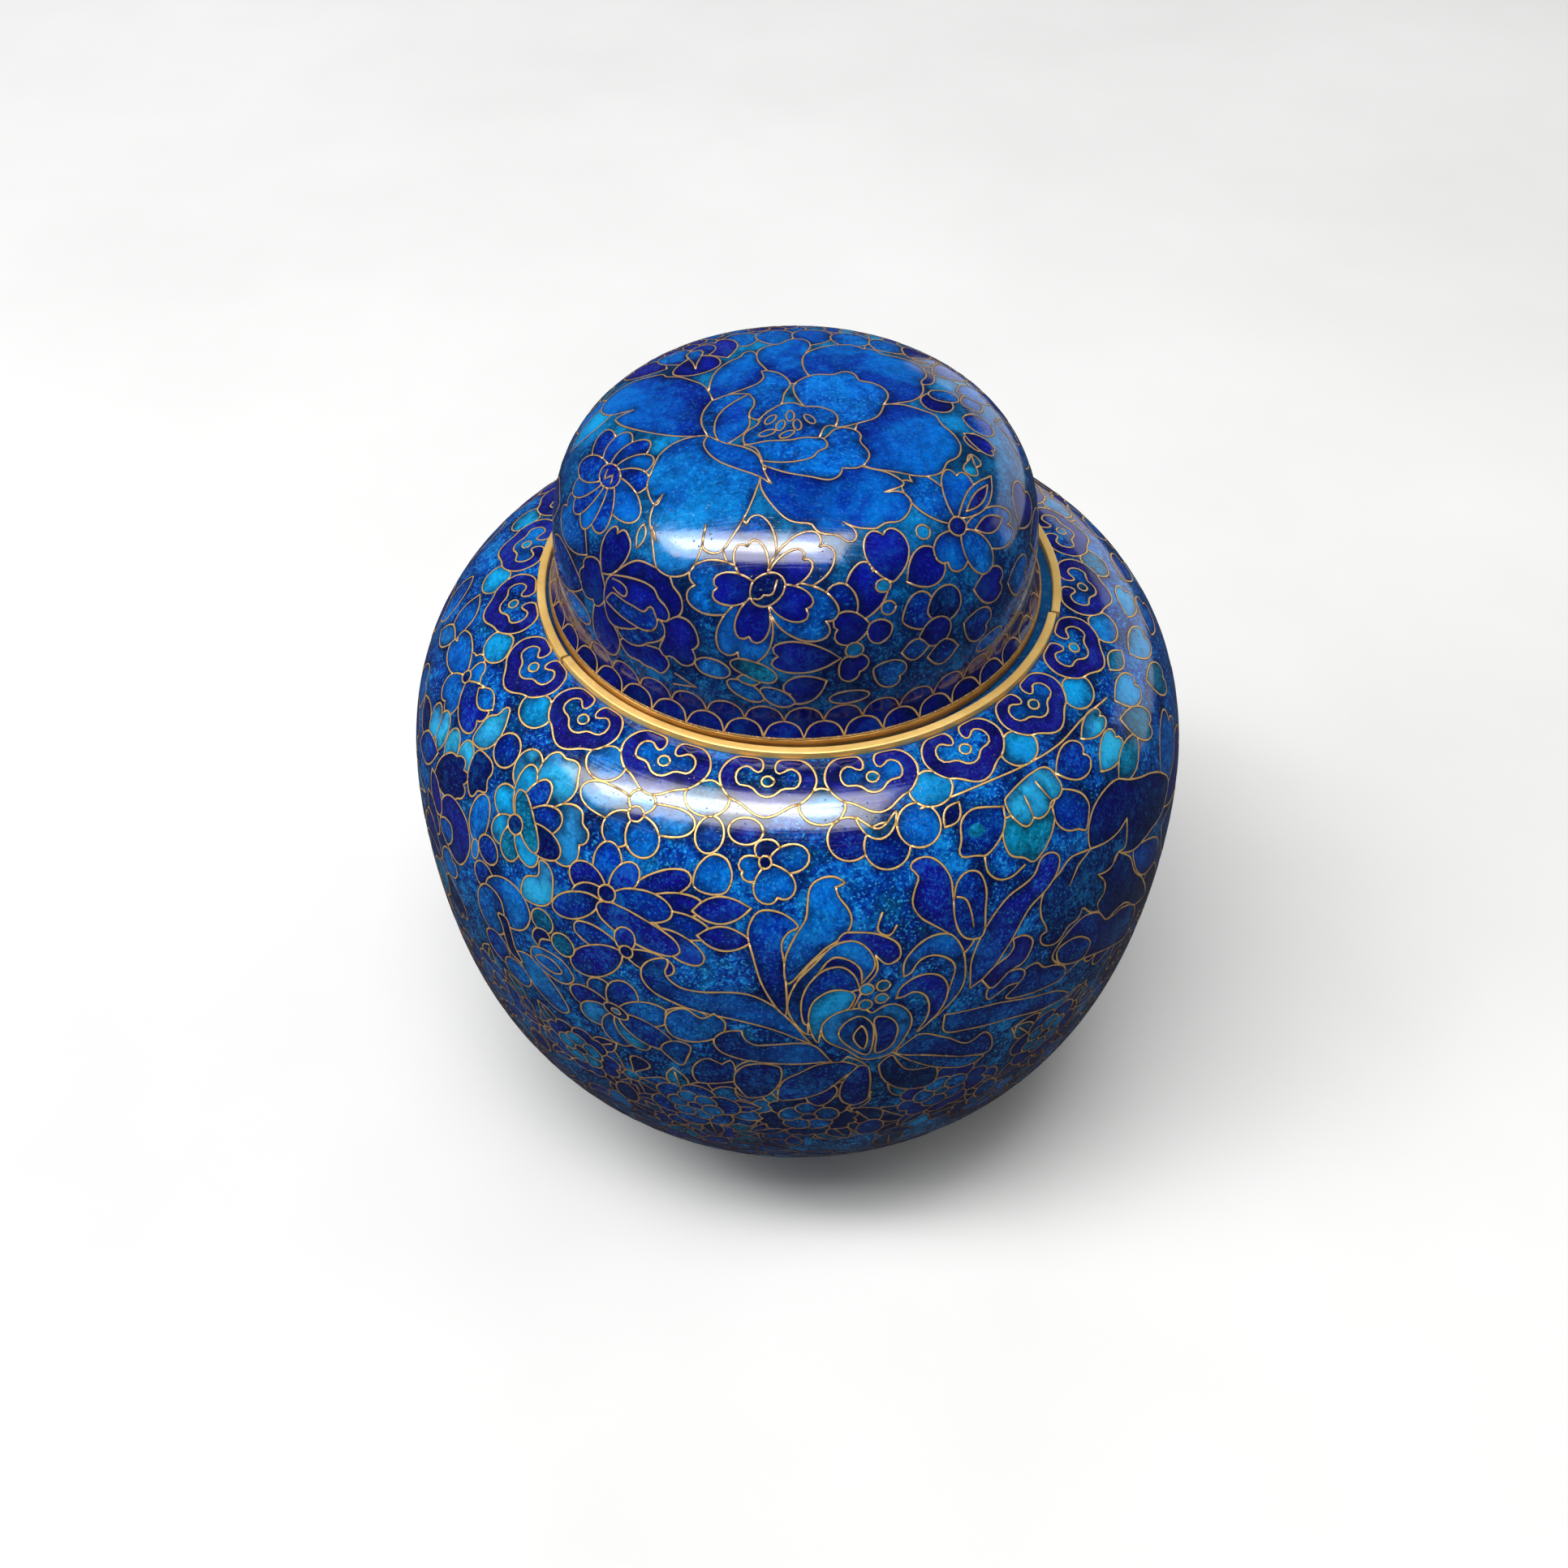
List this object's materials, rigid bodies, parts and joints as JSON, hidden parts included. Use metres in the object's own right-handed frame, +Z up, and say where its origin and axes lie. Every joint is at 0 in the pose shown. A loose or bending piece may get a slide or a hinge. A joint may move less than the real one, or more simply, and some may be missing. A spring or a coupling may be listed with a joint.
{
  "type": "cloisonne ginger jar",
  "caption": "Squat round lidded jar of enamel on copper with inlaid gilt wires, gilt shoulder ring and lid rim, loose domed lid.",
  "frame": {"origin": "centre of the foot, on the surface the jar stands on", "axes": "+Z up along the jar's axis; -Y is the side that the picture shows, +X is to its right"},
  "size_m": [0.127, 0.127, 0.1348],
  "materials": {
    "jar_body": "high gloss vitreous enamel on copper",
    "lid": "high gloss vitreous enamel on copper",
    "lid_rim": "satin gilt",
    "shoulder_ring_front": "satin gilt",
    "shoulder_ring_back": "satin gilt"
  },
  "bodies": {
    "root": {"jar_body": "jar_body", "lid": "lid", "lid_rim": "lid_rim", "shoulder_ring_front": "shoulder_ring_front", "shoulder_ring_back": "shoulder_ring_back"}
  },
  "joints": []
}
